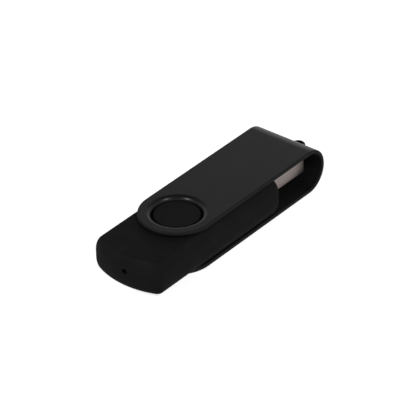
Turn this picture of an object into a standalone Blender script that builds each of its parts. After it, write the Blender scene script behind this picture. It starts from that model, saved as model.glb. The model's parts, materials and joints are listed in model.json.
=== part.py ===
"""USB flash drive with a swivel cover.

A bent steel strip, the cover, straddles a plastic stick. Round bosses on both faces of the
stick turn in the cover's two rolled holes, so the stick swings out through the open sides.

Every shape is drawn in the hub's frame: the swivel axis is the z axis, z = 0 is half way
through the thickness, and +x points to the plug and the cover's bend.
"""

import math

import bmesh
import bpy

MM = 0.001

# Stick
STICK_WIDTH = 20.4 * MM
STICK_BACK = 21.0 * MM  # swivel axis to the outermost point of the rounded back end
STICK_FRONT = 29.5 * MM  # swivel axis to the outermost point of the plug end
END_RADIUS = 22.7 * MM  # the gentle arc of both ends, seen from above
CORNER_RADIUS = 2.0 * MM
CROWN_INSET = 1.75 * MM  # how far the rounded edges lean in on their way to the face
CROWN_DROP = 3.6 * MM  # how far below the face the rounding starts
SHELL_WALL = 1.2 * MM
PARTING_GAP = 0.06 * MM
LIGHT_HOLE_RADIUS = 0.75 * MM
LIGHT_Y = -1.1 * MM
LIGHT_Z = 0.5 * MM

# Cover
COVER_WIDTH = 19.0 * MM
COVER_THICKNESS = 12.0 * MM
SHEET = 1.05 * MM
PLATE_GAP = 0.3 * MM  # between a plate's inner face and the stick
TIP_GAP = 2.7 * MM  # between the plug's tip and the inside of the bend

# Swivel
BOSS_RADIUS = 5.72 * MM
BOSS_PROUD = 0.6 * MM  # above the stick's face
RIM_GAP = 0.43 * MM  # between the boss and the rolled hole
RIM_ROLL = 0.9 * MM  # radius of the hole's rolled edge
COLLAR_WALL = 0.85 * MM
COLLAR_DEPTH = 0.75 * MM  # how far the rolled collar reaches past the plate's inner face
GROOVE_GAP = 0.3 * MM  # round the collar, in the stick's ring groove
GROOVE_FLOOR = 1.0 * MM  # plastic left under the groove

# Keyring loop
LOOP_REACH = 3.5 * MM
LOOP_RADIUS = 1.85 * MM
LOOP_THICKNESS = 1.0 * MM
LOOP_HEIGHT = 2.6 * MM
LOOP_EDGE = 0.3 * MM
FOOT_THICKNESS = 0.8 * MM
FOOT_SPREAD = 1.6 * MM
SLOT_GAP = 0.1 * MM

# Plug
PLUG_WIDTH = 12.0 * MM
PLUG_HEIGHT = 4.5 * MM
PLUG_WALL = 0.3 * MM
PLUG_CORNER = 0.6 * MM
PLUG_EXPOSED = 12.7 * MM  # from the stick's end arc to the tip
PLUG_BURIED = 8.0 * MM
PLUG_FIT = 0.15 * MM  # round the plug, in the stick's opening
WINDOW_LENGTH = 2.0 * MM
WINDOW_WIDTH = 2.5 * MM
WINDOW_SETBACK = 5.2 * MM
WINDOW_SPACING = 4.5 * MM
TAB_LENGTH = 2.2 * MM
TAB_HEIGHT = 1.4 * MM
INSULATOR_SETBACK = 0.6 * MM
INSULATOR_TAIL = 1.0 * MM
CONTACT_WIDTH = 1.0 * MM
CONTACT_THICKNESS = 0.2 * MM
CONTACT_TAIL = 2.2 * MM
OUTER_CONTACT_SETBACK = 1.4 * MM
INNER_CONTACT_SETBACK = 2.4 * MM
OUTER_CONTACT_Y = 3.5 * MM
INNER_CONTACT_Y = 1.0 * MM

# Board and what is soldered to it
SEAT = 0.05 * MM  # under each soldered piece
BOARD_TOP = -0.35 * MM
BOARD_THICKNESS = 1.0 * MM
BOARD_SIDE_GAP = 0.9 * MM
BOARD_END_GAP = 0.5 * MM
BOSS_SEAT_GAP = 0.1 * MM
PIN_RADIUS = 0.65 * MM
PIN_FIT = 0.15 * MM
PIN_BOSS_WALL = 0.75 * MM
PIN_INSET = 3.2 * MM  # from the board's back edge
PIN_CLEARANCE = 0.4 * MM  # between the front pins' bosses and the contacts' tails
PIN_SIDE_INSET = 2.3 * MM  # from the board's long edges
MEMORY_SIZE = (18.4 * MM, 12.0 * MM, 1.0 * MM)
MEMORY_SPAN = 20.0 * MM
MEMORY_LEADS = 24
MEMORY_PITCH = 0.5 * MM
CONTROLLER_SIZE = (7.0 * MM, 7.0 * MM, 1.3 * MM)
CONTROLLER_SPAN = 9.0 * MM
CONTROLLER_LEADS = 12
CONTROLLER_PITCH = 0.5 * MM
LEAD_WIDTH = 0.22 * MM
LEAD_THICKNESS = 0.15 * MM
LEAD_ROOT = 0.3 * MM  # how far each lead reaches into the chip's body
CHIP_EDGE = 0.12 * MM
CRYSTAL_SIZE = (3.2 * MM, 5.0 * MM, 1.1 * MM)
CRYSTAL_EDGE = 0.25 * MM
CRYSTAL_GAP = 1.5 * MM  # from the controller's leads
LED_SIZE = (1.2 * MM, 1.6 * MM, 0.8 * MM)
LED_EDGE = 0.08 * MM
LED_INSET = 0.4 * MM  # from the board's back edge
LENS_RADIUS = 0.3 * MM
LENS_PROUD = 0.3 * MM
CAPACITOR_SIZE = (0.8 * MM, 1.6 * MM, 0.8 * MM)
RESISTOR_SIZE = (0.8 * MM, 1.6 * MM, 0.45 * MM)
PASSIVE_PITCH = 1.9 * MM
PASSIVE_ROWS = 4
PASSIVE_START = 3.2 * MM  # from the back pins to the first row
PASSIVE_SIDE_INSET = 2.0 * MM  # from the board's long edges
CAP_LENGTH = 0.3 * MM  # the metal cap on each end of a capacitor or resistor
CAP_LIP = 0.03 * MM

# Worked out from the sizes above
HALF_COVER = COVER_THICKNESS / 2
PLATE_INSIDE = HALF_COVER - SHEET
HALF_STICK = PLATE_INSIDE - PLATE_GAP
BOSS_TOP = HALF_STICK + BOSS_PROUD
PLUG_TIP = STICK_FRONT + PLUG_EXPOSED
PLUG_BACK = STICK_FRONT - PLUG_BURIED
BEND_CENTRE = PLUG_TIP + TIP_GAP - PLATE_INSIDE
BEND_OUTSIDE = BEND_CENTRE + HALF_COVER
BORE_RADIUS = BOSS_RADIUS + RIM_GAP
COLLAR_RADIUS = BORE_RADIUS + COLLAR_WALL
COLLAR_END = PLATE_INSIDE - COLLAR_DEPTH
GROOVE_RADIUS = COLLAR_RADIUS + GROOVE_GAP
GROOVE_Z = COLLAR_END - GROOVE_GAP
CAVITY_TOP = HALF_STICK - SHELL_WALL
PAD_Z = GROOVE_Z - GROOVE_FLOOR
PAD_RADIUS = GROOVE_RADIUS + GROOVE_FLOOR
BOARD_BOTTOM = BOARD_TOP - BOARD_THICKNESS
BOARD_HALF_WIDTH = STICK_WIDTH / 2 - SHELL_WALL - BOARD_SIDE_GAP
BOARD_FRONT = PLUG_BACK - 2 * SEAT
PIN_BOSS_RADIUS = PIN_RADIUS + PIN_FIT + PIN_BOSS_WALL
TAILS_END = PLUG_BACK - INSULATOR_TAIL - CONTACT_TAIL
HUB_X = (STICK_BACK - BEND_OUTSIDE - LOOP_REACH) / 2
OVERSHOOT = 2.0 * MM  # how far a cutting tool runs past what it cuts
PROUD = 0.01 * MM  # how far the rolled hole's flare stands above the plate
ROUND_STEPS = 56
PIN_STEPS = 16
SHARPEST = 0.2 * MM  # smallest corner radius left on an inset outline
CROWN_STEPS = 5

COLOURS = {
    "black_enamel": ((0.030, 0.029, 0.029), 0.45, 0.0),
    "black_plastic": ((0.012, 0.012, 0.013), 0.60, 0.0),
    "plated_steel": ((0.60, 0.58, 0.55), 0.30, 1.0),
    "white_nylon": ((0.80, 0.80, 0.76), 0.45, 0.0),
    "gold_plate": ((0.90, 0.66, 0.25), 0.25, 1.0),
    "board_green": ((0.02, 0.13, 0.06), 0.40, 0.0),
    "chip_resin": ((0.02, 0.02, 0.022), 0.50, 0.0),
    "can_steel": ((0.62, 0.62, 0.60), 0.28, 1.0),
    "clear_resin": ((0.75, 0.80, 0.85), 0.15, 0.0),
    "tan_ceramic": ((0.42, 0.30, 0.18), 0.45, 0.0),
    "black_ceramic": ((0.03, 0.03, 0.03), 0.40, 0.0),
}


def clear_scene():
    for item in list(bpy.data.objects):
        bpy.data.objects.remove(item, do_unlink=True)


def make_material(name):
    colour, roughness, metallic = COLOURS[name]
    material = bpy.data.materials.new(name)
    material.use_nodes = True
    shader = material.node_tree.nodes["Principled BSDF"]
    shader.inputs["Base Color"].default_value = (*colour, 1.0)
    shader.inputs["Roughness"].default_value = roughness
    shader.inputs["Metallic"].default_value = metallic
    material.diffuse_color = (*colour, 1.0)
    return material


def add_empty(name):
    empty = bpy.data.objects.new(name, None)
    empty.location = (HUB_X, 0.0, HALF_COVER)
    empty.empty_display_size = 5 * MM
    bpy.context.scene.collection.objects.link(empty)
    return empty


def object_from_bmesh(name, shape):
    bmesh.ops.recalc_face_normals(shape, faces=shape.faces)
    mesh = bpy.data.meshes.new(name)
    shape.to_mesh(mesh)
    shape.free()
    item = bpy.data.objects.new(name, mesh)
    bpy.context.scene.collection.objects.link(item)
    return item


def loft(name, rings):
    """A solid through rings of equally many points, closed by a flat face at each end."""
    shape = bmesh.new()
    rows = [[shape.verts.new(point) for point in ring] for ring in rings]
    for lower, upper in zip(rows, rows[1:]):
        for i in range(len(lower)):
            j = (i + 1) % len(lower)
            shape.faces.new((lower[i], lower[j], upper[j], upper[i]))
    shape.faces.new(rows[0])
    shape.faces.new(rows[-1])
    return object_from_bmesh(name, shape)


def prism(name, outline, low, high):
    """An outline in x and y carried from z = low to z = high."""
    return loft(name, [[(x, y, z) for x, y in outline] for z in (low, high)])


def side_prism(name, profile, low, high):
    """A profile in x and z carried from y = low to y = high."""
    return loft(name, [[(x, y, z) for x, z in profile] for y in (low, high)])


def block(name, x, y, z):
    """A box between two values on each axis."""
    return prism(name, [(x[0], y[0]), (x[1], y[0]), (x[1], y[1]), (x[0], y[1])], *z)


def arc(cx, cy, radius, start, end, steps):
    """Points on a circle, angles in degrees, both ends included."""
    angles = [math.radians(start + (end - start) * i / steps) for i in range(steps + 1)]
    return [(cx + radius * math.cos(a), cy + radius * math.sin(a)) for a in angles]


def disc(name, x, y, radius, low, high, steps=ROUND_STEPS):
    return prism(name, arc(x, y, radius, 0, 360 - 360 / steps, steps - 1), low, high)


def turned(name, profile, steps=ROUND_STEPS):
    """A solid of revolution about z, from (radius, z) pairs that start and end on the axis."""
    shape = bmesh.new()
    rings = []
    for radius, z in profile[1:-1]:
        angles = [2 * math.pi * i / steps for i in range(steps)]
        rings.append([shape.verts.new((radius * math.cos(a), radius * math.sin(a), z)) for a in angles])
    for lower, upper in zip(rings, rings[1:]):
        for i in range(steps):
            j = (i + 1) % steps
            shape.faces.new((lower[i], lower[j], upper[j], upper[i]))
    shape.faces.new(rings[0])
    shape.faces.new(rings[-1])
    return object_from_bmesh(name, shape)


def apply_modifiers(item):
    graph = bpy.context.evaluated_depsgraph_get()
    finished = bpy.data.meshes.new_from_object(item.evaluated_get(graph))
    item.modifiers.clear()
    item.data = finished


def combine(target, tool, operation):
    modifier = target.modifiers.new(operation.lower(), "BOOLEAN")
    modifier.operation = operation
    modifier.object = tool
    apply_modifiers(target)
    bpy.data.objects.remove(tool, do_unlink=True)


def cut(target, tool):
    combine(target, tool, "DIFFERENCE")


def join(target, tool):
    combine(target, tool, "UNION")


def keep(target, tool):
    combine(target, tool, "INTERSECT")


def mirrored_low(item):
    """Turns a piece half a turn about x, from the upper side to the lower side."""
    for vertex in item.data.vertices:
        vertex.co.y, vertex.co.z = -vertex.co.y, -vertex.co.z
    return item


def soften(item, width, segments=2):
    modifier = item.modifiers.new("softened_edges", "BEVEL")
    modifier.width = width
    modifier.segments = segments
    modifier.limit_method = "ANGLE"
    modifier.angle_limit = math.radians(40)
    apply_modifiers(item)


def finish(item, name, material, parent, smooth_degrees=30):
    item.name = name
    item.data.name = name
    item.data.materials.clear()
    item.data.materials.append(material)
    item.data.shade_smooth()
    item.data.set_sharp_from_angle(angle=math.radians(smooth_degrees))
    item.parent = parent
    return item


# ---------------------------------------------------------------- stick shells


def end_outline(reach, half_width, radius, corner, steps=10):
    """One rounded end at +x, from its lower side to its upper side."""
    inner = radius - corner
    lean = math.degrees(math.asin((half_width - corner) / inner))
    cx = reach - radius + inner * math.cos(math.radians(lean))
    cy = half_width - corner
    low = arc(cx, -cy, corner, -90, -lean, 4)
    front = arc(reach - radius, 0, radius, -lean, lean, steps)[1:-1]
    high = arc(cx, cy, corner, lean, 90, 4)
    return low + front + high


def stick_outline(inset):
    half_width = STICK_WIDTH / 2 - inset
    radius = END_RADIUS - inset
    corner = max(CORNER_RADIUS - inset, SHARPEST)
    front = end_outline(STICK_FRONT - inset, half_width, radius, corner)
    back = end_outline(STICK_BACK - inset, half_width, radius, corner)
    return front + [(-x, -y) for x, y in back]


def stick_body(low):
    """The stick above z = low, solid, its edges rounded to the face as a quarter ellipse."""
    rings = [[(x, y, low) for x, y in stick_outline(0)]]
    for step in range(CROWN_STEPS + 1):
        turn = math.radians(90 * step / CROWN_STEPS)
        inset = CROWN_INSET * (1 - math.cos(turn))
        z = HALF_STICK - CROWN_DROP + CROWN_DROP * math.sin(turn)
        rings.append([(x, y, z) for x, y in stick_outline(inset)])
    return loft("stick_body", rings)


def pin_places():
    y = BOARD_HALF_WIDTH - PIN_SIDE_INSET
    xs = (board_back() + PIN_INSET, TAILS_END - PIN_CLEARANCE - PIN_BOSS_RADIUS)
    return [(x, side * y) for x in xs for side in (-1, 1)]


def board_back():
    """The board's back edge clears the curved end wall at the board's corners."""
    radius = END_RADIUS - SHELL_WALL
    sag = radius - math.sqrt(radius**2 - BOARD_HALF_WIDTH**2)
    return -STICK_BACK + SHELL_WALL + sag + BOARD_END_GAP


def cut_swivel_groove(shell):
    """The ring groove that the cover's collar turns in, leaving the round boss inside it."""
    groove = disc("groove", 0, 0, GROOVE_RADIUS, GROOVE_Z, BOSS_TOP + OVERSHOOT)
    cut(groove, disc("groove_core", 0, 0, BOSS_RADIUS, GROOVE_Z - MM, BOSS_TOP + 2 * OVERSHOOT))
    cut(shell, groove)


def hollow(shell):
    """Empties the shell, leaving the thick pad under the groove and the boss."""
    floor = PARTING_GAP / 2 - OVERSHOOT
    outline = stick_outline(SHELL_WALL)
    cavity = prism("cavity", outline, floor, CAVITY_TOP)
    cut(cavity, disc("pad", 0, 0, PAD_RADIUS, PAD_Z, HALF_STICK + OVERSHOOT))
    cut(shell, cavity)


def cut_plug_opening(shell):
    y = PLUG_WIDTH / 2 + PLUG_FIT
    z = PLUG_HEIGHT / 2 + PLUG_FIT
    x = (STICK_FRONT - SHELL_WALL - OVERSHOOT, STICK_FRONT + OVERSHOOT)
    cut(shell, block("plug_opening", x, (-y, y), (-z, z)))


def cut_light_hole(shell):
    """The small round hole in the back end, in front of the status light."""
    profile = arc(LIGHT_Y, LIGHT_Z, LIGHT_HOLE_RADIUS, 0, 330, 11)
    ends = (-STICK_BACK - OVERSHOOT, -STICK_BACK + SHELL_WALL + OVERSHOOT)
    cut(shell, loft("light_hole", [[(x, y, z) for y, z in profile] for x in ends]))


def shell_blank(name):
    shell = stick_body(PARTING_GAP / 2)
    shell.name = name
    join(shell, disc("boss", 0, 0, BOSS_RADIUS, HALF_STICK - SHELL_WALL / 2, BOSS_TOP))
    cut_swivel_groove(shell)
    hollow(shell)
    cut_plug_opening(shell)
    return shell


def make_upper_shell(material, parent):
    shell = shell_blank("upper_shell")
    cut_light_hole(shell)
    for x, y in pin_places():
        low = BOARD_TOP + BOSS_SEAT_GAP
        join(shell, disc("socket", x, y, PIN_BOSS_RADIUS, low, CAVITY_TOP + SHELL_WALL / 2, PIN_STEPS))
        cut(shell, disc("socket_bore", x, y, PIN_RADIUS + PIN_FIT, low - OVERSHOOT, CAVITY_TOP, PIN_STEPS))
    return finish(shell, "upper_shell", material, parent)


def make_lower_shell(material, parent):
    shell = mirrored_low(shell_blank("lower_shell"))
    cut_light_hole(shell)
    for x, y in pin_places():
        base = -CAVITY_TOP - SHELL_WALL / 2
        join(shell, disc("post", x, y, PIN_BOSS_RADIUS, base, BOARD_BOTTOM - BOSS_SEAT_GAP, PIN_STEPS))
        join(shell, disc("pin", x, y, PIN_RADIUS, base, CAVITY_TOP / 2, PIN_STEPS))
    return finish(shell, "lower_shell", material, parent)


# ---------------------------------------------------------------- cover and loop


def strip_profile():
    """The bent strip seen from the side: two plates joined by a half-round bend."""
    start = -COVER_WIDTH
    outer = arc(BEND_CENTRE, 0, HALF_COVER, 90, -90, 24)
    inner = arc(BEND_CENTRE, 0, PLATE_INSIDE, -90, 90, 24)
    return [(start, HALF_COVER)] + outer + [(start, -HALF_COVER), (start, -PLATE_INSIDE)] + inner + [
        (start, PLATE_INSIDE)
    ]


def plate_outline():
    """The strip seen from above: one end rounded about the swivel axis."""
    end = BEND_OUTSIDE + OVERSHOOT
    half = COVER_WIDTH / 2
    return arc(0, 0, half, 90, 270, 32) + [(end, -half), (end, half)]


def rolled_hole():
    """The tool that leaves a rolled edge: a bore that flares to the plate's outer face."""
    roll = arc(BORE_RADIUS + RIM_ROLL, HALF_COVER - RIM_ROLL, RIM_ROLL, 180, 90, 6)
    flare = [(radius, z + PROUD) for radius, z in roll]
    top = HALF_COVER + OVERSHOOT
    bottom = COLLAR_END - OVERSHOOT
    ends = (flare[-1][0], top), (0, top)
    return turned("rolled_hole", [(0, bottom), (BORE_RADIUS, bottom), *flare, *ends])


def loop_slots():
    """Two slots through the bend for the loop's legs."""
    half = LOOP_HEIGHT / 2 + SLOT_GAP
    x = (BEND_OUTSIDE - SHEET - OVERSHOOT, BEND_OUTSIDE + OVERSHOOT)
    y = (LOOP_RADIUS - LOOP_THICKNESS - SLOT_GAP, LOOP_RADIUS + SLOT_GAP)
    return [block("slot", x, tuple(sorted((side * y[0], side * y[1]))), (-half, half)) for side in (-1, 1)]


def make_swivel_cover(material, parent):
    half = COVER_WIDTH / 2
    cover = side_prism("swivel_cover", strip_profile(), -half, half)
    keep(cover, prism("plate_outline", plate_outline(), -COVER_THICKNESS, COVER_THICKNESS))
    for turn_over in (False, True):
        collar = disc("collar", 0, 0, COLLAR_RADIUS, COLLAR_END, HALF_COVER - SHEET / 2)
        join(cover, mirrored_low(collar) if turn_over else collar)
        hole = rolled_hole()
        cut(cover, mirrored_low(hole) if turn_over else hole)
    for slot in loop_slots():
        cut(cover, slot)
    return finish(cover, "swivel_cover", material, parent)


def make_keyring_loop(material, parent):
    """A flat-wire staple. Its legs pass through the bend and its feet turn outwards inside."""
    inner = LOOP_RADIUS - LOOP_THICKNESS
    centre = BEND_OUTSIDE + LOOP_REACH - LOOP_RADIUS
    half = LOOP_HEIGHT / 2
    clear = BEND_CENTRE + math.sqrt(PLATE_INSIDE**2 - half**2)
    foot_front = clear - SLOT_GAP
    foot_back = foot_front - FOOT_THICKNESS
    foot_end = LOOP_RADIUS + FOOT_SPREAD
    side = [(foot_back, inner), (foot_back, foot_end), (foot_front, foot_end), (foot_front, LOOP_RADIUS)]
    outer = arc(centre, 0, LOOP_RADIUS, 90, -90, 14)
    inside = arc(centre, 0, inner, -90, 90, 10)
    outline = side + outer + [(x, -y) for x, y in reversed(side)] + inside
    loop = prism("keyring_loop", outline, -half, half)
    soften(loop, LOOP_EDGE)
    return finish(loop, "keyring_loop", material, parent)


# ---------------------------------------------------------------- plug


def rounded_rectangle(half_width, half_height, radius, steps=4):
    corners = [(1, 1, 0), (-1, 1, 90), (-1, -1, 180), (1, -1, 270)]
    points = []
    for sx, sy, start in corners:
        cx = sx * (half_width - radius)
        cy = sy * (half_height - radius)
        points += arc(cx, cy, radius, start, start + 90, steps)
    return points


def plug_tube(name, inset, ends):
    section = rounded_rectangle(PLUG_WIDTH / 2 - inset, PLUG_HEIGHT / 2 - inset, PLUG_CORNER - inset)
    return loft(name, [[(x, y, z) for y, z in section] for x in ends])


def make_plug_shell(material, parent):
    """The folded steel tube, with latch windows in both faces and two soldered tabs behind."""
    shell = plug_tube("plug_shell", 0, (PLUG_BACK, PLUG_TIP))
    cut(shell, plug_tube("plug_inside", PLUG_WALL, (PLUG_BACK - OVERSHOOT, PLUG_TIP + OVERSHOOT)))
    x = (PLUG_TIP - WINDOW_SETBACK - WINDOW_LENGTH, PLUG_TIP - WINDOW_SETBACK)
    for centre in (-WINDOW_SPACING / 2, WINDOW_SPACING / 2):
        y = (centre - WINDOW_WIDTH / 2, centre + WINDOW_WIDTH / 2)
        cut(shell, block("window", x, y, (-PLUG_HEIGHT, PLUG_HEIGHT)))
    for side in (-1, 1):
        y = sorted((side * PLUG_WIDTH / 2, side * (PLUG_WIDTH / 2 - PLUG_WALL)))
        z = (BOARD_TOP + SEAT, BOARD_TOP + SEAT + TAB_HEIGHT)
        join(shell, block("tab", (PLUG_BACK - TAB_LENGTH, PLUG_BACK + MM), tuple(y), z))
    return finish(shell, "plug_shell", material, parent)


def insulator_top():
    return -SEAT


def make_plug_insulator(material, parent):
    """The moulded tongue that fills the lower half of the tube."""
    x = (PLUG_BACK - INSULATOR_TAIL, PLUG_TIP - INSULATOR_SETBACK)
    half = PLUG_WIDTH / 2 - PLUG_CORNER - SEAT
    low = -PLUG_HEIGHT / 2 + PLUG_WALL + SEAT
    tongue = block("plug_insulator", x, (-half, half), (low, insulator_top()))
    ledge = (x[0] - MM, BOARD_FRONT + 2 * SEAT)
    cut(tongue, block("ledge", ledge, (-PLUG_WIDTH, PLUG_WIDTH), (low - MM, BOARD_TOP + SEAT)))
    return finish(tongue, "plug_insulator", material, parent)


def make_contact(name, y, setback, material, parent):
    """A flat strip on the tongue whose tail steps down to the board."""
    low = insulator_top() + SEAT
    high = low + CONTACT_THICKNESS
    tail_low = BOARD_TOP + SEAT
    tail_high = tail_low + CONTACT_THICKNESS
    back = TAILS_END
    bend = PLUG_BACK - INSULATOR_TAIL - SEAT
    front = PLUG_TIP - setback
    profile = [
        (back, tail_low),
        (bend, tail_low),
        (bend, low),
        (front, low),
        (front, high),
        (bend - CONTACT_THICKNESS, high),
        (bend - CONTACT_THICKNESS, tail_high),
        (back, tail_high),
    ]
    strip = side_prism(name, profile, y - CONTACT_WIDTH / 2, y + CONTACT_WIDTH / 2)
    return finish(strip, name, material, parent)


# ---------------------------------------------------------------- board and electronics


def make_circuit_board(material, parent):
    x = (board_back(), BOARD_FRONT)
    y = (-BOARD_HALF_WIDTH, BOARD_HALF_WIDTH)
    board = block("circuit_board", x, y, (BOARD_BOTTOM, BOARD_TOP))
    for px, py in pin_places():
        ends = (BOARD_BOTTOM - OVERSHOOT, BOARD_TOP + OVERSHOOT)
        cut(board, disc("pin_hole", px, py, PIN_RADIUS + PIN_FIT, *ends, PIN_STEPS))
    return finish(board, "circuit_board", material, parent)


def lead(reach, body_half, height):
    """The side view of one bent lead, from inside the body to its foot, distances outwards."""
    root = body_half - LEAD_ROOT
    middle = height / 2
    knee = (reach + body_half) / 2
    half = LEAD_THICKNESS / 2
    return [
        (root, middle - half),
        (knee - half, middle - half),
        (knee - half, 0),
        (reach, 0),
        (reach, 2 * half),
        (knee + half, 2 * half),
        (knee + half, middle + half),
        (root, middle + half),
    ]


def leaded_chip(name, size, span, leads, pitch, four_sides):
    """A moulded chip standing on z = 0, with its leads fused to it."""
    length, width, height = size
    stand_off = LEAD_THICKNESS / 2
    chip = block(name, (-length / 2, length / 2), (-width / 2, width / 2), (stand_off, height))
    soften(chip, CHIP_EDGE, 1)
    directions = [(1, 0), (-1, 0)] + ([(0, 1), (0, -1)] if four_sides else [])
    for dx, dy in directions:
        profile = lead(span / 2, length / 2 if dx else width / 2, height)
        comb = bmesh.new()
        for index in range(leads):
            offset = (index - (leads - 1) / 2) * pitch
            add_lead(comb, profile, (dx, dy), offset)
        join(chip, object_from_bmesh("leads", comb))
    return chip


def add_lead(comb, profile, direction, offset):
    dx, dy = direction
    rings = []
    for side in (-LEAD_WIDTH / 2, LEAD_WIDTH / 2):
        across = offset + side
        points = [(out * dx - across * dy, out * dy + across * dx, z) for out, z in profile]
        rings.append([comb.verts.new(point) for point in points])
    first, second = rings
    count = len(first)
    for i in range(count):
        j = (i + 1) % count
        comb.faces.new((first[i], first[j], second[j], second[i]))
    comb.faces.new(first)
    comb.faces.new(second)


def place(item, x, y, z, under=False):
    """Moves a piece drawn on z = 0 to its seat, face down when it hangs under the board."""
    if under:
        mirrored_low(item)
    for vertex in item.data.vertices:
        vertex.co.x += x
        vertex.co.y += y
        vertex.co.z += z
    return item


def board_middle():
    return (board_back() + BOARD_FRONT) / 2


def make_memory_chip(material, parent):
    chip = leaded_chip("memory_chip", MEMORY_SIZE, MEMORY_SPAN, MEMORY_LEADS, MEMORY_PITCH, False)
    place(chip, board_middle(), 0, BOARD_BOTTOM - SEAT, under=True)
    return finish(chip, "memory_chip", material, parent)


def controller_x():
    return board_middle() + CONTROLLER_SPAN / 2


def make_controller_chip(material, parent):
    size = CONTROLLER_SIZE
    chip = leaded_chip("controller_chip", size, CONTROLLER_SPAN, CONTROLLER_LEADS, CONTROLLER_PITCH, True)
    place(chip, controller_x(), 0, BOARD_TOP + SEAT)
    return finish(chip, "controller_chip", material, parent)


def make_clock_crystal(material, parent):
    length, width, height = CRYSTAL_SIZE
    can = block("clock_crystal", (-length / 2, length / 2), (-width / 2, width / 2), (0, height))
    soften(can, CRYSTAL_EDGE)
    x = controller_x() - CONTROLLER_SPAN / 2 - CRYSTAL_GAP - length / 2
    place(can, x, 0, BOARD_TOP + SEAT)
    return finish(can, "clock_crystal", material, parent)


def make_status_led(material, parent):
    """A side-firing light at the board's back edge, in line with the hole in the end wall."""
    length, width, height = LED_SIZE
    body = block("status_led", (0, length), (-width / 2, width / 2), (0, height))
    soften(body, LED_EDGE, 1)
    lens = arc(0, height / 2, LENS_RADIUS, 0, 330, 11)
    join(body, loft("lens", [[(x, y, z) for y, z in lens] for x in (-LENS_PROUD, length / 2)]))
    place(body, board_back() + LED_INSET, LIGHT_Y, BOARD_TOP + SEAT)
    return finish(body, "status_led", material, parent)


def make_passive(name, size, x, y, material, parent):
    """A chip capacitor or resistor: a bar with thicker metal caps at both ends."""
    length, width, height = size
    cap = width / 2 - CAP_LENGTH
    stations = [(-width / 2, 0), (-cap, 0), (-cap, CAP_LIP), (cap, CAP_LIP), (cap, 0), (width / 2, 0)]
    rings = []
    for along, inset in stations:
        half = length / 2 - inset
        corners = [(-half, inset), (half, inset), (half, height - inset), (-half, height - inset)]
        rings.append([(cx, along, cz) for cx, cz in corners])
    bar = place(loft(name, rings), x, y, BOARD_TOP + SEAT)
    return finish(bar, name, material, parent)


def make_passives(capacitor_material, resistor_material, parent):
    """A row along each side of the board: capacitors on one side, resistors on the other."""
    first = board_back() + PIN_INSET + PASSIVE_START
    row = BOARD_HALF_WIDTH - PASSIVE_SIDE_INSET
    for index in range(PASSIVE_ROWS):
        x = first + index * PASSIVE_PITCH
        make_passive(f"capacitor_{index + 1}", CAPACITOR_SIZE, x, row, capacitor_material, parent)
        make_passive(f"resistor_{index + 1}", RESISTOR_SIZE, x, -row, resistor_material, parent)


def main():
    clear_scene()
    finishes = {name: make_material(name) for name in COLOURS}
    cover = add_empty("cover_frame")
    stick = add_empty("stick_pivot")

    make_swivel_cover(finishes["black_enamel"], cover)
    make_keyring_loop(finishes["black_enamel"], cover)

    make_upper_shell(finishes["black_plastic"], stick)
    make_lower_shell(finishes["black_plastic"], stick)
    make_plug_shell(finishes["plated_steel"], stick)
    make_plug_insulator(finishes["white_nylon"], stick)
    contacts = (
        ("contact_power", -OUTER_CONTACT_Y, OUTER_CONTACT_SETBACK),
        ("contact_data_minus", -INNER_CONTACT_Y, INNER_CONTACT_SETBACK),
        ("contact_data_plus", INNER_CONTACT_Y, INNER_CONTACT_SETBACK),
        ("contact_ground", OUTER_CONTACT_Y, OUTER_CONTACT_SETBACK),
    )
    for name, y, setback in contacts:
        make_contact(name, y, setback, finishes["gold_plate"], stick)

    make_circuit_board(finishes["board_green"], stick)
    make_memory_chip(finishes["chip_resin"], stick)
    make_controller_chip(finishes["chip_resin"], stick)
    make_clock_crystal(finishes["can_steel"], stick)
    make_status_led(finishes["clear_resin"], stick)
    make_passives(finishes["tan_ceramic"], finishes["black_ceramic"], stick)


main()
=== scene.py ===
"""Looks for a USB flash drive with a swivel cover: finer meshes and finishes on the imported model.

Every piece is drawn in the hub's frame, in metres: the swivel axis is the z axis, z = 0 is half way
through the thickness, and +x points to the plug and the cover's bend.
"""

import json
import math

import bmesh
import bpy
from mathutils import Matrix, Vector


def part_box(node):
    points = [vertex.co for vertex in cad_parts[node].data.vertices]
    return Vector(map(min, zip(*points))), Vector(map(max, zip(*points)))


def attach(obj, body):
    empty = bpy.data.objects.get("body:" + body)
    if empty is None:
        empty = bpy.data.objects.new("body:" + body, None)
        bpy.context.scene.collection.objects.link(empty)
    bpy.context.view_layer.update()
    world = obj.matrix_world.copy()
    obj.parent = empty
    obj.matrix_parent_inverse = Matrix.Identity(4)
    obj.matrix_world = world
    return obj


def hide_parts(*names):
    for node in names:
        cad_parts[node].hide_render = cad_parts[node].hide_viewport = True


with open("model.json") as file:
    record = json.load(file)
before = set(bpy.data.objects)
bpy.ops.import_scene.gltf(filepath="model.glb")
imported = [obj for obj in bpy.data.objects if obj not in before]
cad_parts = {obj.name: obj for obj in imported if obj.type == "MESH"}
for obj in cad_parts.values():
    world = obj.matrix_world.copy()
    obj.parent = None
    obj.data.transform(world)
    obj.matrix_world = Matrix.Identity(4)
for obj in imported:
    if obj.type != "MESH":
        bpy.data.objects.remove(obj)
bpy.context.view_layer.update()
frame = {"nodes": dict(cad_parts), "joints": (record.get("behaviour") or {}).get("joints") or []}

MM = 0.001
HUB = Vector(frame["joints"][0]["pos_m"])


def hub_box(node):
    """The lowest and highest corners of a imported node, measured from the hub."""
    low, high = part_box(node)
    return low - HUB, high - HUB


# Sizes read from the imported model
COVER_HIGH = hub_box("swivel_cover")[1]
STICK_LOW, STICK_HIGH = hub_box("upper_shell")
LOOP_LOW, LOOP_HIGH = hub_box("keyring_loop")
PLUG_LOW, PLUG_HIGH = hub_box("plug_shell")
TONGUE_LOW, TONGUE_HIGH = hub_box("plug_insulator")
BOARD_LOW, BOARD_HIGH = hub_box("circuit_board")

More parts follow.
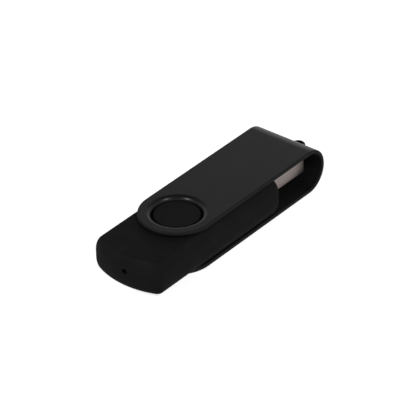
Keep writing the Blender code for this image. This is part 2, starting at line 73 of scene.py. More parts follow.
# Cover
SHEET = 1.05 * MM
SHEET_EDGE = 0.36 * MM
RIM_ROLL = 1.45 * MM
BORE_RADIUS = 6.15 * MM
COLLAR_RADIUS = 7.0 * MM
COLLAR_DEPTH = 0.75 * MM
SLOT_FIT = 0.1 * MM
FLARE_PROUD = 0.004 * MM  # the flare runs out just above the plate, so that it meets it cleanly

# Where the enamel turns darker: in from the cut edges, and as painted shade in past the plates and out from
# the collars
EDGE_DARK_START = 0.45 * MM
EDGE_DARK_END = 0.1 * MM
INSIDE_SHADE_START = 0.2 * MM
INSIDE_SHADE_END = 0.6 * MM
COLLAR_SHADE_START = 1.5 * MM
COLLAR_SHADE_END = 2.0 * MM

# Stick
END_RADIUS = 22.7 * MM
CORNER_RADIUS = 2.0 * MM
CROWN_INSET = 1.75 * MM
CROWN_DROP = 3.6 * MM
SHELL_WALL = 1.2 * MM
PARTING = 0.0  # the two halves meet level with the hub
PARTING_EDGE = 0.03 * MM
BOSS_RADIUS = 5.72 * MM
BOSS_PROUD = 0.6 * MM
BOSS_EDGE = 0.25 * MM
GROOVE_RADIUS = 7.3 * MM
GROOVE_Z = 3.9 * MM
GROOVE_EDGE = 0.12 * MM
PAD_RADIUS = 8.3 * MM
PAD_Z = 2.9 * MM
CAVITY_EDGE = 0.4 * MM
LIGHT_HOLE_RADIUS = 0.75 * MM
LIGHT_Y = -1.1 * MM
LIGHT_Z = 0.5 * MM
PIN_RADIUS = 0.65 * MM
PIN_BOSS_RADIUS = 1.55 * MM
PIN_INSET = 3.2 * MM
PIN_SIDE_INSET = 2.3 * MM
PIN_CLEARANCE = 0.4 * MM
PIN_FIT = 0.15 * MM
BOARD_CLEARANCE = 0.1 * MM

# Plug
PLUG_WALL = 0.3 * MM
PLUG_CORNER = 0.6 * MM
PLUG_FIT = 0.15 * MM
PLUG_EDGE = 0.03 * MM
TAB_LENGTH = 2.2 * MM
TAB_OVERLAP = 1.0 * MM
TAB_LIFT = 0.05 * MM
TAB_HEIGHT = 1.4 * MM
LEAD_IN_LENGTH = 0.5 * MM
LEAD_IN_DEPTH = 0.14 * MM
WINDOW_LENGTH = 2.0 * MM
WINDOW_WIDTH = 2.5 * MM
WINDOW_CORNER = 0.25 * MM
WINDOW_SETBACK = 5.2 * MM
WINDOW_SPACING = 4.5 * MM
SEAM_WIDTH = 0.09 * MM
SEAM_DEPTH = 0.14 * MM
RIB_HEIGHT = 0.14 * MM
RIB_GAP = 0.12 * MM
TONGUE_EDGE = 0.0625 * MM
LEDGE_FIT = 0.1 * MM
LEDGE_LIFT = 0.05 * MM
CONTACT_THICKNESS = 0.2 * MM
CONTACT_STEP_GAP = 0.05 * MM
CONTACT_EDGE = 0.06 * MM

# Solder fillets: half their length, half their width and their height
TAIL_FILLET = (0.9 * MM, 0.75 * MM, 0.34 * MM)
TAIL_FILLET_INSET = 0.2 * MM
TAB_FILLET = (1.3 * MM, 0.7 * MM, 0.75 * MM)

# Keyring loop
LOOP_OUTSIDE = 1.85 * MM
LOOP_THICKNESS = 1.0 * MM
LOOP_FOOT = 0.8 * MM
LOOP_EDGE = 0.42 * MM

# How far a cutting tool runs past what it cuts
OVERSHOOT = 2.0 * MM

# Worked out from the sizes above
HALF_COVER = COVER_HIGH.z
HALF_WIDTH = COVER_HIGH.y
PLATE_INSIDE = HALF_COVER - SHEET
BEND_CENTRE = COVER_HIGH.x - HALF_COVER
COLLAR_END = PLATE_INSIDE - COLLAR_DEPTH
BOSS_TOP = STICK_HIGH.z
HALF_STICK = BOSS_TOP - BOSS_PROUD
CAVITY_TOP = HALF_STICK - SHELL_WALL
PLUG_BACK = PLUG_LOW.x + TAB_LENGTH
PLUG_TIP = PLUG_HIGH.x

# Fineness of the round shapes
TURN_STEPS = 160
BEND_STEPS = 72
SIDE_STEPS = 52
END_STEPS = 24
CORNER_STEPS = 8
CROWN_STEPS = 18
EDGE_STEPS = 5
FLARE_STEPS = 14
HOLE_STEPS = 36
LIP_STEPS = 8
WINDOW_STEPS = 6
PIN_BOSS_STEPS = 40
PIN_STEPS = 32
NOSE_STEPS = 6
LOOP_OUTER_STEPS = 40
LOOP_INNER_STEPS = 32
DOME_STEPS = 6
DOME_TURN_STEPS = 24

# How far a chip's or bar's body reaches from the middle of its box, where 0.5 is the box's own side
CAP_SHARE = 0.3125
CONTROLLER_SHARE = 0.3889
MEMORY_SHARE = 0.46
WHOLE_BOX = 0.52


# ---------------------------------------------------------------- mesh helpers


def object_from(name, shape):
    bmesh.ops.recalc_face_normals(shape, faces=shape.faces)
    mesh = bpy.data.meshes.new(name)
    shape.to_mesh(mesh)
    shape.free()
    piece = bpy.data.objects.new(name, mesh)
    bpy.context.scene.collection.objects.link(piece)
    return piece


def loft(name, rings, ring_shaped=False):
    """A skin through rings of equally many points, closed by end faces or back on itself."""
    shape = bmesh.new()
    rows = [[shape.verts.new(point) for point in ring] for ring in rings]
    following = rows[1:] + ([rows[0]] if ring_shaped else [])
    for lower, upper in zip(rows, following):
        for i in range(len(lower)):
            j = (i + 1) % len(lower)
            shape.faces.new((lower[i], lower[j], upper[j], upper[i]))
    if not ring_shaped:
        shape.faces.new(rows[0])
        shape.faces.new(rows[-1])
    return object_from(name, shape)


def prism(name, outline, low, high):
    return loft(name, [[(x, y, z) for x, y in outline] for z in (low, high)])


def side_prism(name, profile, low, high):
    return loft(name, [[(x, y, z) for x, z in profile] for y in (low, high)])


def block(name, x, y, z):
    return prism(name, [(x[0], y[0]), (x[1], y[0]), (x[1], y[1]), (x[0], y[1])], *z)


def arc(cx, cy, radius, start, end, steps):
    """Points on a circle, angles in degrees, both ends included."""
    angles = [math.radians(start + (end - start) * i / steps) for i in range(steps + 1)]
    return [(cx + radius * math.cos(a), cy + radius * math.sin(a)) for a in angles]


def disc(name, x, y, radius, low, high, steps=TURN_STEPS):
    return prism(name, arc(x, y, radius, 0, 360 - 360 / steps, steps - 1), low, high)


def rounded_rectangle(half_width, half_height, radius, steps):
    points = []
    for sx, sy, start in ((1, 1, 0), (-1, 1, 90), (-1, -1, 180), (1, -1, 270)):
        cx, cy = sx * (half_width - radius), sy * (half_height - radius)
        points += arc(cx, cy, radius, start, start + 90, steps)
    return points


def settle(piece):
    """Applies the piece's modifiers."""
    graph = bpy.context.evaluated_depsgraph_get()
    mesh = bpy.data.meshes.new_from_object(piece.evaluated_get(graph))
    piece.modifiers.clear()
    piece.data = mesh
    return piece


def combine(piece, tool, operation):
    modifier = piece.modifiers.new(operation.lower(), "BOOLEAN")
    modifier.operation = operation
    modifier.object = tool
    settle(piece)
    bpy.data.objects.remove(tool, do_unlink=True)


def cut(piece, tool):
    combine(piece, tool, "DIFFERENCE")


def join(piece, tool):
    combine(piece, tool, "UNION")


def turned_over(piece):
    """Turns a piece half a turn about x, from the upper side to the lower side."""
    for vertex in piece.data.vertices:
        vertex.co.y, vertex.co.z = -vertex.co.y, -vertex.co.z
    return piece


def soften(piece, width, segments=3, over=40):
    """Rounds every edge that turns by more than some degrees."""
    modifier = piece.modifiers.new("rounded_edges", "BEVEL")
    modifier.width = width
    modifier.segments = segments
    modifier.limit_method = "ANGLE"
    modifier.angle_limit = math.radians(over)
    modifier.use_clamp_overlap = False
    return settle(piece)


def finish_piece(piece, name, material, body, slot, *nodes, smooth=32):
    """Names the piece, smooths it, gives it its finish and sets it at the hub on its body."""
    piece.name = piece.data.name = name
    piece.data.materials.clear()
    piece.data.materials.append(material)
    piece.data.shade_smooth()
    piece.data.set_sharp_from_angle(angle=math.radians(smooth))
    weighted = piece.modifiers.new("even_shading", "WEIGHTED_NORMAL")
    weighted.keep_sharp = True
    settle(piece)
    piece.location = HUB
    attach(piece, body)
    if nodes:
        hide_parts(*nodes)
    return piece


# ---------------------------------------------------------------- shader helpers


class Field:
    """A shader socket that takes part in sums, so that a pattern reads as a formula."""

    def __init__(self, finish, socket):
        self.finish = finish
        self.socket = socket

    def math(self, operation, first, second=0.0):
        return self.finish.node("ShaderNodeMath", {"operation": operation}, [first, second])

    def __add__(self, other):
        return self.math("ADD", self, other)

    def __sub__(self, other):
        return self.math("SUBTRACT", self, other)

    def __rsub__(self, other):
        return self.math("SUBTRACT", other, self)

    def __mul__(self, other):
        return self.math("MULTIPLY", self, other)

    def __gt__(self, other):
        return self.math("GREATER_THAN", self, other)

    def __abs__(self):
        return self.math("ABSOLUTE", self)

    __radd__ = __add__
    __rmul__ = __mul__

    def larger(self, other):
        return self.math("MAXIMUM", self, other)

    def root(self):
        return self.math("SQRT", self)


class Nodes:
    """A node tree, with short ways to add the nodes of a pattern."""

    def __init__(self, tree):
        self.tree = tree

    def node(self, kind, settings, values, output=0):
        made = self.tree.nodes.new(kind)
        for name, value in settings.items():
            setattr(made, name, value)
        for key, value in values.items() if isinstance(values, dict) else enumerate(values):
            self.set(made.inputs[key], value)
        return Field(self, made.outputs[output])

    def set(self, socket, value):
        if isinstance(value, Field):
            self.tree.links.new(value.socket, socket)
        else:
            socket.default_value = value

    def place(self, stretch=(1, 1, 1)):
        """The point on the piece, with each axis stretched by its own factor."""
        point = self.node("ShaderNodeTexCoord", {}, {}, output="Object")
        return self.node("ShaderNodeMapping", {}, {"Vector": point, "Scale": stretch})

    def share(self):
        """How far across, along and up the piece's box a point is, from 0 to 1, or a world's direction."""
        return self.parts(self.node("ShaderNodeTexCoord", {}, {}, output="Generated"))

    def parts(self, vector):
        return [self.node("ShaderNodeSeparateXYZ", {}, [vector], output=i) for i in range(3)]

    def noise(self, size, detail=2.0, stretch=(1, 1, 1), distortion=0.0):
        """Cloudy noise from 0 to 1 whose patches are about this size."""
        values = {"Vector": self.place(stretch), "Scale": 1 / size, "Detail": detail}
        return self.node("ShaderNodeTexNoise", {}, {**values, "Distortion": distortion})

    def cells(self, size):
        values = {"Vector": self.place(), "Scale": 1 / size}
        return self.node("ShaderNodeTexVoronoi", {}, values)

    def ramp(self, value, low, high):
        """0 below low, 1 above high and smooth between."""
        values = {"Value": value, "From Min": low, "From Max": high}
        return self.node("ShaderNodeMapRange", {"interpolation_type": "SMOOTHSTEP"}, values)

    def blend(self, first, second, share):
        """A colour between two colours."""
        return self.node("ShaderNodeMix", {"data_type": "RGBA"}, {0: share, 6: first, 7: second}, 2)


class Finish(Nodes):
    """One material: its shader's even values, and the nodes that vary the rest over the surface."""

    def __init__(self, name, **even):
        self.material = bpy.data.materials.new(name)
        self.material.use_nodes = True
        super().__init__(self.material.node_tree)
        self.shader = self.tree.nodes["Principled BSDF"]
        for socket, value in even.items():
            self.shader.inputs[socket.replace("_", " ")].default_value = value

    def feed(self, socket, value):
        self.set(self.shader.inputs[socket], value)

    def relief(self, height, depth):
        """Raises and sinks the surface by up to this depth."""
        self.feed("Normal", self.node("ShaderNodeBump", {}, {"Distance": depth, "Height": height}))


def grey(level, warmth=0.0):
    return (level * (1 + warmth), level, level * (1 - warmth), 1.0)


# ---------------------------------------------------------------- finishes


def dark_edges_and_painted_shade(finish):
    """1 where the enamel is painted darker: towards the strip's cut edges, and as painted shade inside the
    plates and the bend.
    """
    x, y, z = finish.parts(finish.place())
    back = (0.0 - x).larger(0.0)
    from_middle = (back * back + y * y).root()
    edge = finish.ramp(from_middle, HALF_WIDTH - EDGE_DARK_START, HALF_WIDTH - EDGE_DARK_END)
    around = (x - BEND_CENTRE).larger(0.0)
    depth = (around * around + z * z).root()
    # painted shade: the inside of the plates and the bend turns dark, stopped short of the collars
    inside = 1 - finish.ramp(depth, PLATE_INSIDE + INSIDE_SHADE_START, PLATE_INSIDE + INSIDE_SHADE_END)
    from_axis = (x * x + y * y).root()
    collar = finish.ramp(from_axis, COLLAR_RADIUS + COLLAR_SHADE_START, COLLAR_RADIUS + COLLAR_SHADE_END)
    return (inside * collar).larger(0.9 * edge)


def black_enamel():
    """Stoved satin enamel: a faint orange-peel ripple, a fine grain, handling marks, darker cut edges and
    painted shade inside the plates and the bend.
    """
    finish = Finish("black_enamel", Specular_IOR_Level=0.42)
    ripple = finish.noise(0.7 * MM, 1.0)
    grain = finish.noise(0.16 * MM, 2.0)
    handling = finish.noise(6 * MM, 4.0, distortion=0.6)
    worn = finish.ramp(handling, 0.42, 0.68)
    outer = finish.blend(grey(0.0105, 0.02), grey(0.0125, 0.02), worn)
    dark_edge_and_shade = dark_edges_and_painted_shade(finish)
    # painted shade inside the plates and the bend, and darker cut edges, darken the enamel's colour
    finish.feed("Base Color", finish.blend(outer, grey(0.003), dark_edge_and_shade))
    finish.feed("Roughness", 0.27 + 0.03 * worn + 0.05 * grain + 0.36 * dark_edge_and_shade)
    finish.relief(0.7 * ripple + 0.3 * grain, 0.004 * MM)
    return finish.material


def black_moulding():
    """Matt plastic from a spark-eroded mould, rubbed a little smoother where it is handled."""
    finish = Finish("black_moulding", Specular_IOR_Level=0.16)
    pits = finish.cells(0.22 * MM)
    grain = finish.noise(0.12 * MM, 3.0)
    handling = finish.ramp(finish.noise(5 * MM, 3.0), 0.40, 0.70)
    finish.feed("Base Color", finish.blend(grey(0.0090), grey(0.0104), handling))
    finish.feed("Roughness", 0.68 + 0.10 * grain - 0.06 * handling)
    finish.relief(0.6 * pits + 0.4 * grain, 0.012 * MM)
    return finish.material


def plated_steel():
    """Bright nickel-plated strip: rolling lines along the plug and rub marks near its tip."""
    finish = Finish("plated_steel", Metallic=1.0)
    along = (0.04, 1, 1)
    rolling = finish.noise(0.12 * MM, 3.0, along)
    rubs = finish.ramp(finish.noise(0.25 * MM, 2.0, (0.015, 1, 1)), 0.60, 0.66)
    x = finish.parts(finish.place())[0]
    used = finish.ramp(x, PLUG_TIP - 12 * MM, PLUG_TIP - 4 * MM)
    cloud = finish.noise(3 * MM, 3.0)
    nickel = finish.blend((0.72, 0.61, 0.58, 1.0), (0.84, 0.73, 0.69, 1.0), rolling)
    finish.feed("Base Color", nickel)
    finish.feed("Roughness", 0.22 + 0.10 * rolling + 0.08 * cloud + 0.16 * (rubs * used))
    finish.relief(rolling - 0.6 * (rubs * used), 0.003 * MM)
    return finish.material


def white_nylon():
    finish = Finish("white_nylon", Subsurface_Weight=0.15, Subsurface_Scale=0.5 * MM)
    cloud = finish.noise(2.5 * MM, 3.0)
    grain = finish.noise(0.15 * MM, 2.0)
    finish.feed("Base Color", finish.blend((0.78, 0.77, 0.71, 1), (0.86, 0.85, 0.80, 1), cloud))
    finish.feed("Roughness", 0.42 + 0.12 * grain)
    finish.relief(grain, 0.004 * MM)
    return finish.material


def gold_plate():
    """Thin gold over nickel, brushed along each strip."""
    finish = Finish("gold_plate", Metallic=1.0)
    brushed = finish.noise(0.06 * MM, 2.0, (0.05, 1, 1))
    cloud = finish.noise(1.5 * MM, 2.0)
    finish.feed("Base Color", finish.blend((0.86, 0.61, 0.22, 1), (0.95, 0.74, 0.36, 1), cloud))
    finish.feed("Roughness", 0.18 + 0.18 * brushed)
    finish.relief(brushed, 0.001 * MM)
    return finish.material


def board_laminate():
    """Green resist with the copper tracks showing through as lighter lines, and bare edges."""
    finish = Finish("board_laminate", Specular_IOR_Level=0.5)
    values = {"Vector": finish.place(), "Scale": 1 / (4 * MM), "Mortar Size": 0.035, "Bias": 0.0}
    values.update({"Brick Width": 0.5, "Row Height": 0.2, "Mortar Smooth": 0.2})
    tracks = finish.node("ShaderNodeTexBrick", {"offset": 0.35, "squash": 0.6}, values, 1)
    weave = finish.noise(0.3 * MM, 2.0)
    normal = finish.parts(finish.node("ShaderNodeTexCoord", {}, {}, output="Normal"))
    faces = abs(normal[2]) > 0.5
    green = finish.blend((0.008, 0.075, 0.028, 1), (0.020, 0.16, 0.060, 1), tracks)
    finish.feed("Base Color", finish.blend((0.34, 0.33, 0.17, 1), green, faces))
    finish.feed("Roughness", 0.70 - 0.42 * faces + 0.08 * weave)
    finish.relief(tracks + 0.3 * weave, 0.02 * MM)
    return finish.material


def moulded_chip(name, length_share, width_share):
    """Black resin in the middle of the chip's box and tinned leads outside it."""
    finish = Finish(name, Specular_IOR_Level=0.4)
    x, y, _ = finish.share()
    outside = (abs(x - 0.5) > length_share).larger(abs(y - 0.5) > width_share)
    grain = finish.noise(0.08 * MM, 3.0)
    cloud = finish.noise(2 * MM, 2.0)
    resin = finish.blend(grey(0.016), grey(0.026), cloud)
    finish.feed("Base Color", finish.blend(resin, grey(0.72, 0.01), outside))
    finish.feed("Metallic", outside)
    finish.feed("Roughness", 0.62 + 0.10 * grain - 0.35 * outside)
    finish.relief(grain, 0.006 * MM)
    return finish.material


def capped_ceramic(name, body, roughness):
    """A ceramic bar between two tinned end caps."""
    finish = Finish(name)
    cap = abs(finish.share()[1] - 0.5) > CAP_SHARE
    cloud = finish.noise(0.4 * MM, 3.0)
    darker = tuple(0.75 * part for part in body[:3]) + (1.0,)
    ceramic = finish.blend(darker, body, cloud)
    finish.feed("Base Color", finish.blend(ceramic, grey(0.74, 0.01), cap))
    finish.feed("Metallic", cap)
    finish.feed("Roughness", roughness + 0.10 * cloud - 0.10 * cap)
    finish.relief(cloud, 0.01 * MM)
    return finish.material


def crystal_can():
    finish = Finish("crystal_can", Metallic=1.0)
    brushed = finish.noise(0.1 * MM, 2.0, (1, 0.05, 1))
    finish.feed("Base Color", finish.blend(grey(0.60, 0.01), grey(0.70, 0.01), brushed))
    finish.feed("Roughness", 0.22 + 0.15 * brushed)
    finish.relief(brushed, 0.001 * MM)
    return finish.material


def clear_resin():
    finish = Finish("clear_resin", IOR=1.5)
    cloud = finish.noise(0.5 * MM, 2.0)
    finish.feed("Base Color", finish.blend((0.62, 0.68, 0.72, 1), (0.80, 0.84, 0.86, 1), cloud))
    finish.feed("Roughness", 0.10 + 0.12 * cloud)
    finish.relief(cloud, 0.004 * MM)
    return finish.material


def solder():
    finish = Finish("solder", Metallic=1.0)
    cloud = finish.noise(0.3 * MM, 3.0)
    finish.feed("Base Color", finish.blend(grey(0.62), grey(0.76), cloud))
    finish.feed("Roughness", 0.20 + 0.22 * cloud)
    finish.relief(cloud, 0.02 * MM)
    return finish.material


# ---------------------------------------------------------------- cover and loop


def strip_profile():
    """The bent strip seen from the side: two plates joined by a half-round bend."""
    start = -HALF_WIDTH
    outer = arc(BEND_CENTRE, 0, HALF_COVER, 90, -90, BEND_STEPS)
    inner = arc(BEND_CENTRE, 0, PLATE_INSIDE, -90, 90, BEND_STEPS)
    lower_end = [(start, -HALF_COVER), (start, -PLATE_INSIDE)]
    return [(start, HALF_COVER)] + outer + lower_end + inner + [(start, PLATE_INSIDE)]


def plate_outline():
    """The strip seen from above: its free end is rounded about the swivel axis."""
    far = COVER_HIGH.x + OVERSHOOT
    return arc(0, 0, HALF_WIDTH, 90, 270, TURN_STEPS // 2) + [(far, -HALF_WIDTH), (far, HALF_WIDTH)]


def rolled_hole():
    """The tool for the hole: a bore that flares to the plate's outer face in a quarter round."""
    flare = arc(BORE_RADIUS + RIM_ROLL, HALF_COVER - RIM_ROLL, RIM_ROLL, 180, 90, FLARE_STEPS)
    profile = [(BORE_RADIUS, COLLAR_END - OVERSHOOT)] + [(r, z + FLARE_PROUD) for r, z in flare]
    profile.append((flare[-1][0], HALF_COVER + OVERSHOOT))
    turns = [2 * math.pi * i / TURN_STEPS for i in range(TURN_STEPS)]
    rings = [[(r * math.cos(a), r * math.sin(a), z) for a in turns] for r, z in profile]
    return loft("rolled_hole", rings)


def cut_loop_slots(cover):
    """A slot through the bend for each leg of the keyring loop."""
    leg = LOOP_OUTSIDE - LOOP_THICKNESS / 2
    reach = LOOP_THICKNESS / 2 + SLOT_FIT
    top = LOOP_HIGH.z + SLOT_FIT
    x = (COVER_HIGH.x - SHEET - OVERSHOOT, COVER_HIGH.x + OVERSHOOT)
    for side in (-1, 1):
        y = (side * leg - reach, side * leg + reach)
        cut(cover, block("slot", x, y, (-top, top)))


def make_cover(material):
    cover = side_prism("cover", strip_profile(), -HALF_WIDTH, HALF_WIDTH)
    combine(cover, prism("outline", plate_outline(), -2 * HALF_COVER, 2 * HALF_COVER), "INTERSECT")
    for side in ("upper", "lower"):
        collar = disc("collar", 0, 0, COLLAR_RADIUS, COLLAR_END, HALF_COVER - SHEET / 2)
        hole = rolled_hole()
        if side == "lower":
            turned_over(collar)
            turned_over(hole)
        join(cover, collar)
        cut(cover, hole)
    soften(cover, SHEET_EDGE)
    cut_loop_slots(cover)
    return finish_piece(cover, "bent_cover", material, "cover", "cover_enamel", "swivel_cover")


def make_loop(material):
    """A flat-wire staple whose feet turn outwards inside the bend."""
    inside = LOOP_OUTSIDE - LOOP_THICKNESS
    centre = LOOP_HIGH.x - LOOP_OUTSIDE
    back, front = LOOP_LOW.x, LOOP_LOW.x + LOOP_FOOT
    foot = LOOP_HIGH.y
    side = [(back, inside), (back, foot), (front, foot), (front, LOOP_OUTSIDE)]
    outer = arc(centre, 0, LOOP_OUTSIDE, 90, -90, LOOP_OUTER_STEPS)
    inner = arc(centre, 0, inside, -90, 90, LOOP_INNER_STEPS)
    outline = side + outer + [(x, -y) for x, y in reversed(side)] + inner
    loop = prism("loop", outline, LOOP_LOW.z, LOOP_HIGH.z)
    soften(loop, LOOP_EDGE, 5)
    return finish_piece(loop, "ring_loop", material, "cover", "cover_enamel", "keyring_loop")


# ---------------------------------------------------------------- stick


def end_arcs(reach, half_width, radius, corner):
    """One rounded end at +x, from its lower corner to its upper corner."""
    inner = radius - corner
    lean = math.degrees(math.asin((half_width - corner) / inner))
    cx = reach - radius + inner * math.cos(math.radians(lean))
    cy = half_width - corner
    low = arc(cx, -cy, corner, -90, -lean, CORNER_STEPS)
    front = arc(reach - radius, 0, radius, -lean, lean, END_STEPS)[1:-1]
    return low + front + arc(cx, cy, corner, lean, 90, CORNER_STEPS)


def side_points(start, end):
    """Points between the two ends of a straight side, evenly turned about the hub."""
    first, last = math.atan2(start[1], start[0]), math.atan2(end[1], end[0])
    if last < first:
        last += 2 * math.pi
    turns = [first + (last - first) * i / SIDE_STEPS for i in range(1, SIDE_STEPS)]
    return [(start[1] / math.tan(turn), start[1]) for turn in turns]


def stick_outline(inset):
    """The stick seen from above, drawn in by an inset, with corners that tighten by half of it."""
    half_width = STICK_HIGH.y - inset
    radius = END_RADIUS - inset
    corner = CORNER_RADIUS - inset / 2
    front = end_arcs(STICK_HIGH.x - inset, half_width, radius, corner)
    back = [(-x, -y) for x, y in end_arcs(-STICK_LOW.x - inset, half_width, radius, corner)]
    upper = side_points(front[-1], back[0])
    lower = side_points(back[-1], front[0])
    return front + upper + back + lower


def ring(inset, z):
    return [(x, y, z) for x, y in stick_outline(inset)]


def round_ring(radius, z):
    """A circle about the hub with a point facing each point of the stick's outline."""
    turns = [math.atan2(y, x) for x, y in stick_outline(CROWN_INSET)]
    return [(radius * math.cos(turn), radius * math.sin(turn), z) for turn in turns]


def quarter(steps=EDGE_STEPS):
    """The angles of a quarter round, from 0 to 90 degrees."""
    return [math.radians(90 * i / steps) for i in range(steps + 1)]


def boss_rings():
    """From the middle of the boss out to its wall and down into the groove."""
    rings = [round_ring(0.5 * BOSS_RADIUS, BOSS_TOP)]
    for a in quarter():
        shrink = BOSS_EDGE * (1 - math.sin(a))
        rings.append(round_ring(BOSS_RADIUS - shrink, BOSS_TOP - BOSS_EDGE * (1 - math.cos(a))))
    rings.append(round_ring(BOSS_RADIUS, GROOVE_Z + GROOVE_EDGE))
    rings.append(round_ring(BOSS_RADIUS + GROOVE_EDGE, GROOVE_Z))
    rings.append(round_ring(GROOVE_RADIUS - GROOVE_EDGE, GROOVE_Z))
    rings.append(round_ring(GROOVE_RADIUS, GROOVE_Z + GROOVE_EDGE))
    for a in quarter():
        grow = GROOVE_EDGE * (1 - math.cos(a))
        rings.append(round_ring(GROOVE_RADIUS + grow, HALF_STICK - GROOVE_EDGE * (1 - math.sin(a))))
    return rings


def wall_rings():
    """From the top face over the crowned wall to the parting edge."""
    rings = []
    for step in range(CROWN_STEPS, -1, -1):
        turn = math.radians(90 * step / CROWN_STEPS)
        z = HALF_STICK - CROWN_DROP * (1 - math.sin(turn))
        rings.append(ring(CROWN_INSET * (1 - math.cos(turn)), z))
    for a in quarter():
        rings.append(ring(PARTING_EDGE * (1 - math.cos(a)), PARTING + PARTING_EDGE * (1 - math.sin(a))))
    return rings


def cavity_rings():
    """From the parting face up the inner wall, over the ceiling and down to the pad."""
    rings = [ring(SHELL_WALL, PARTING)]
    for a in quarter():
        z = CAVITY_TOP - CAVITY_EDGE * (1 - math.sin(a))
        rings.append(ring(SHELL_WALL + CAVITY_EDGE * (1 - math.cos(a)), z))
    return rings + [round_ring(PAD_RADIUS, CAVITY_TOP), round_ring(PAD_RADIUS, PAD_Z)]


def shell_half(name):
    shell = loft(name, boss_rings() + wall_rings() + cavity_rings())
    y, z = PLUG_HIGH.y + PLUG_FIT, PLUG_HIGH.z + PLUG_FIT
    x = (STICK_HIGH.x - SHELL_WALL - OVERSHOOT, STICK_HIGH.x + OVERSHOOT)
    cut(shell, block("plug_opening", x, (-y, y), (-z, z)))
    return shell


def cut_light_hole(shell):
    profile = arc(LIGHT_Y, LIGHT_Z, LIGHT_HOLE_RADIUS, 0, 360 - 360 / HOLE_STEPS, HOLE_STEPS - 1)
    ends = (STICK_LOW.x - OVERSHOOT, STICK_LOW.x + SHELL_WALL + OVERSHOOT)
    cut(shell, loft("light_hole", [[(x, y, z) for y, z in profile] for x in ends]))


def pin_places():
    tails = hub_box("contact_power")[0].x
    xs = (BOARD_LOW.x + PIN_INSET, tails - PIN_CLEARANCE - PIN_BOSS_RADIUS)
    return [(x, side * (BOARD_HIGH.y - PIN_SIDE_INSET)) for x in xs for side in (-1, 1)]


def make_top_shell(material):
    shell = shell_half("top_shell")
    cut_light_hole(shell)
    low = BOARD_HIGH.z + BOARD_CLEARANCE
    root = CAVITY_TOP + SHELL_WALL / 2
    for x, y in pin_places():
        join(shell, disc("socket", x, y, PIN_BOSS_RADIUS, low, root, PIN_BOSS_STEPS))
        cut(shell, disc("bore", x, y, PIN_RADIUS + PIN_FIT, low - OVERSHOOT, CAVITY_TOP, PIN_STEPS))
    return finish_piece(shell, "top_shell", material, "stick", "shell_plastic", "upper_shell")


def make_bottom_shell(material):
    shell = turned_over(shell_half("bottom_shell"))
    cut_light_hole(shell)
    root = -CAVITY_TOP - SHELL_WALL / 2
    top = BOARD_LOW.z - BOARD_CLEARANCE
    for x, y in pin_places():
        join(shell, disc("post", x, y, PIN_BOSS_RADIUS, root, top, PIN_BOSS_STEPS))
        join(shell, disc("pin", x, y, PIN_RADIUS, root, CAVITY_TOP / 2, PIN_STEPS))
    return finish_piece(shell, "bottom_shell", material, "stick", "shell_plastic", "lower_shell")


# ---------------------------------------------------------------- plug


def tube_ring(x, inset):
    """The tube's section at x, drawn in from its outside."""
    section = rounded_rectangle(
        PLUG_HIGH.y - inset, PLUG_HIGH.z - inset, PLUG_CORNER - inset, CORNER_STEPS
    )
    return [(x, y, z) for y, z in section]


def plug_skin():
    """Along the outside to the tip, over the rounded lip and back along the inside."""
    rings = [tube_ring(PLUG_BACK, 0.0), tube_ring(PLUG_TIP - LEAD_IN_LENGTH, 0.0)]
    for a in quarter(LIP_STEPS)[1:]:
        lead = LEAD_IN_LENGTH * math.sin(a)
        rings.append(tube_ring(PLUG_TIP - LEAD_IN_LENGTH + lead, LEAD_IN_DEPTH * (1 - math.cos(a))))
    lip = PLUG_WALL - LEAD_IN_DEPTH
    for a in quarter()[1:]:
        x = PLUG_TIP - lip / 2 * (1 - math.cos(a))
        rings.append(tube_ring(x, LEAD_IN_DEPTH + lip * math.sin(a)))
    rings.append(tube_ring(PLUG_BACK, PLUG_WALL))
    return loft("plug_tube", rings, ring_shaped=True)


def make_plug_tube(material):
    """The folded tube with its windows, its seam underneath and the tabs soldered to the board."""
    tube = plug_skin()
    window = rounded_rectangle(WINDOW_LENGTH / 2, WINDOW_WIDTH / 2, WINDOW_CORNER, WINDOW_STEPS)
    x = PLUG_TIP - WINDOW_SETBACK - WINDOW_LENGTH / 2
    for side in (-1, 1):
        shifted = [(x + px, side * WINDOW_SPACING / 2 + py) for px, py in window]
        cut(tube, prism("window", shifted, -2 * PLUG_HIGH.z, 2 * PLUG_HIGH.z))
    seam = (PLUG_BACK - OVERSHOOT, PLUG_TIP + OVERSHOOT)
    z = (-PLUG_HIGH.z - OVERSHOOT, -PLUG_HIGH.z + SEAM_DEPTH)
    cut(tube, block("seam", seam, (-SEAM_WIDTH / 2, SEAM_WIDTH / 2), z))
    low = BOARD_HIGH.z + TAB_LIFT
    for side in (-1, 1):
        y = sorted((side * PLUG_HIGH.y, side * (PLUG_HIGH.y - PLUG_WALL)))
        join(tube, block("tab", (PLUG_LOW.x, PLUG_BACK + TAB_OVERLAP), y, (low, low + TAB_HEIGHT)))
    soften(tube, PLUG_EDGE, 2, over=50)
    return finish_piece(tube, "plug_tube", material, "stick", "plug_steel", "plug_shell")


def contact_nodes():
    return ("contact_power", "contact_data_minus", "contact_data_plus", "contact_ground")


def make_plug_tongue(material):
    """The moulded tongue, with a rib between each two contacts and one outside each end."""
    floor = TONGUE_HIGH.z
    top = floor + RIB_HEIGHT
    x = (TONGUE_LOW.x, TONGUE_HIGH.x)
    y = (TONGUE_LOW.y, TONGUE_HIGH.y)
    tongue = block("plug_tongue", x, y, (TONGUE_LOW.z, top))
    ledge_x = (TONGUE_LOW.x - OVERSHOOT, BOARD_HIGH.x + LEDGE_FIT)
    ledge_z = (TONGUE_LOW.z - OVERSHOOT, BOARD_HIGH.z + LEDGE_LIFT)
    cut(tongue, block("ledge", ledge_x, (2 * y[0], 2 * y[1]), ledge_z))
    for node in contact_nodes():
        low, high = hub_box(node)
        channel_x = (x[0] - OVERSHOOT, high.x + RIB_GAP)
        channel_y = (low.y - RIB_GAP, high.y + RIB_GAP)
        cut(tongue, block("channel", channel_x, channel_y, (floor, top + OVERSHOOT)))
    soften(tongue, TONGUE_EDGE, 2)
    return finish_piece(tongue, "plug_tongue", material, "stick", "insulator_nylon", "plug_insulator")


